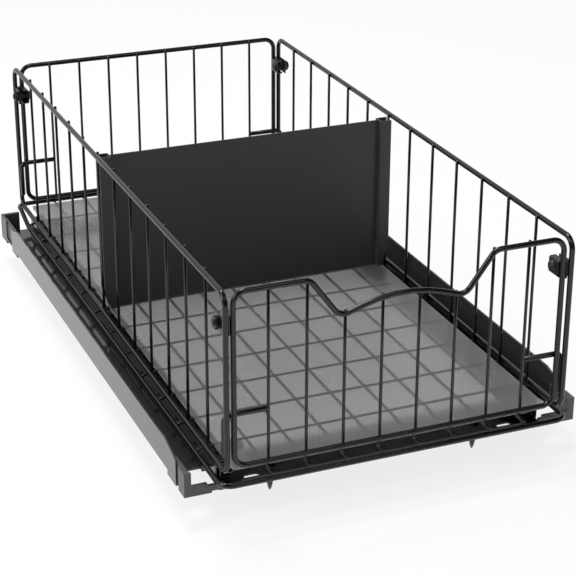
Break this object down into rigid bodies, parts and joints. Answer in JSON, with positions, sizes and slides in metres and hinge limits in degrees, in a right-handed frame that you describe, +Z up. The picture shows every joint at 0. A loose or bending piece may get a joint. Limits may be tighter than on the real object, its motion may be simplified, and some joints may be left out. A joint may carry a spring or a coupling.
{
  "type": "pull-out cabinet basket",
  "caption": "Wire cabinet basket with a dipped front handle, liner and lift-out divider, riding on telescoping ball slides in a low steel base that screws to the cabinet floor.",
  "frame": {"origin": "middle of the base's footprint, on the plane that its rails and caps stand on", "axes": "+Z up, -Y to the front, the way the basket pulls out, +X to the right seen from the front"},
  "size_m": [0.2972, 0.5374, 0.175],
  "materials": {
    "black_wire": "glossy black powder coat",
    "clip_steel": "satin black",
    "divider_steel": "satin black",
    "liner_plastic": "translucent smoky grey sheet",
    "rail_steel": "glossy grey enamel",
    "cap_plastic": "moulded dark grey",
    "bar_steel": "black",
    "slide_steel": "black electro-coat",
    "cage_steel": "pressed strip",
    "ball_steel": "polished",
    "fastener_steel": "blackened"
  },
  "bodies": {
    "base": {"front_cross_bar": "bar_steel", "back_cross_bar": "bar_steel", "floor_screws": "fastener_steel", "slide_rivets": "fastener_steel", "left_rail": "rail_steel", "left_slide_outer_member": "slide_steel", "left_front_cap": "cap_plastic", "left_back_cap": "cap_plastic", "right_rail": "rail_steel", "right_slide_outer_member": "slide_steel", "right_front_cap": "cap_plastic", "right_back_cap": "cap_plastic"},
    "basket": {"base_grid": "black_wire", "front_panel": "black_wire", "back_panel": "black_wire", "left_panel": "black_wire", "right_panel": "black_wire", "front_left_clip": "clip_steel", "front_right_clip": "clip_steel", "back_left_clip": "clip_steel", "back_right_clip": "clip_steel", "clip_bolts": "clip_steel", "clip_nuts": "clip_steel", "liner": "liner_plastic", "bracket_screws": "fastener_steel", "left_slide_inner_member": "slide_steel", "left_front_grid_bracket": "bar_steel", "left_back_grid_bracket": "bar_steel", "right_slide_inner_member": "slide_steel", "right_front_grid_bracket": "bar_steel", "right_back_grid_bracket": "bar_steel"},
    "divider": {"divider": "divider_steel"},
    "left_middle": {"left_slide_middle_member": "slide_steel"},
    "left_outer_cage": {"left_outer_ball_cage": "cage_steel", "left_outer_balls": "ball_steel"},
    "left_inner_cage": {"left_inner_ball_cage": "cage_steel", "left_inner_balls": "ball_steel"},
    "right_middle": {"right_slide_middle_member": "slide_steel"},
    "right_outer_cage": {"right_outer_ball_cage": "cage_steel", "right_outer_balls": "ball_steel"},
    "right_inner_cage": {"right_inner_ball_cage": "cage_steel", "right_inner_balls": "ball_steel"}
  },
  "joints": [
    {"name": "basket_slide", "type": "slide", "parent": "base", "child": "basket", "axis": [0, -1, 0], "range_m": [0, 0.46]},
    {"name": "divider_lift", "type": "slide", "parent": "basket", "child": "divider", "axis": [0, 0, 1], "range_m": [0, 0.145]},
    {"name": "left_middle_slide", "type": "slide", "parent": "base", "child": "left_middle", "axis": [0, -1, 0], "range_m": [0, 0.23]},
    {"name": "left_outer_cage_slide", "type": "slide", "parent": "base", "child": "left_outer_cage", "axis": [0, -1, 0], "range_m": [0, 0.115]},
    {"name": "left_inner_cage_slide", "type": "slide", "parent": "base", "child": "left_inner_cage", "axis": [0, -1, 0], "range_m": [0, 0.345]},
    {"name": "right_middle_slide", "type": "slide", "parent": "base", "child": "right_middle", "axis": [0, -1, 0], "range_m": [0, 0.23]},
    {"name": "right_outer_cage_slide", "type": "slide", "parent": "base", "child": "right_outer_cage", "axis": [0, -1, 0], "range_m": [0, 0.115]},
    {"name": "right_inner_cage_slide", "type": "slide", "parent": "base", "child": "right_inner_cage", "axis": [0, -1, 0], "range_m": [0, 0.345]}
  ],
  "couplings": [
    {"joint": "left_middle_slide", "follows": "basket_slide", "ratio": 0.5},
    {"joint": "left_outer_cage_slide", "follows": "basket_slide", "ratio": 0.25},
    {"joint": "left_inner_cage_slide", "follows": "basket_slide", "ratio": 0.75},
    {"joint": "right_middle_slide", "follows": "basket_slide", "ratio": 0.5},
    {"joint": "right_outer_cage_slide", "follows": "basket_slide", "ratio": 0.25},
    {"joint": "right_inner_cage_slide", "follows": "basket_slide", "ratio": 0.75}
  ]
}
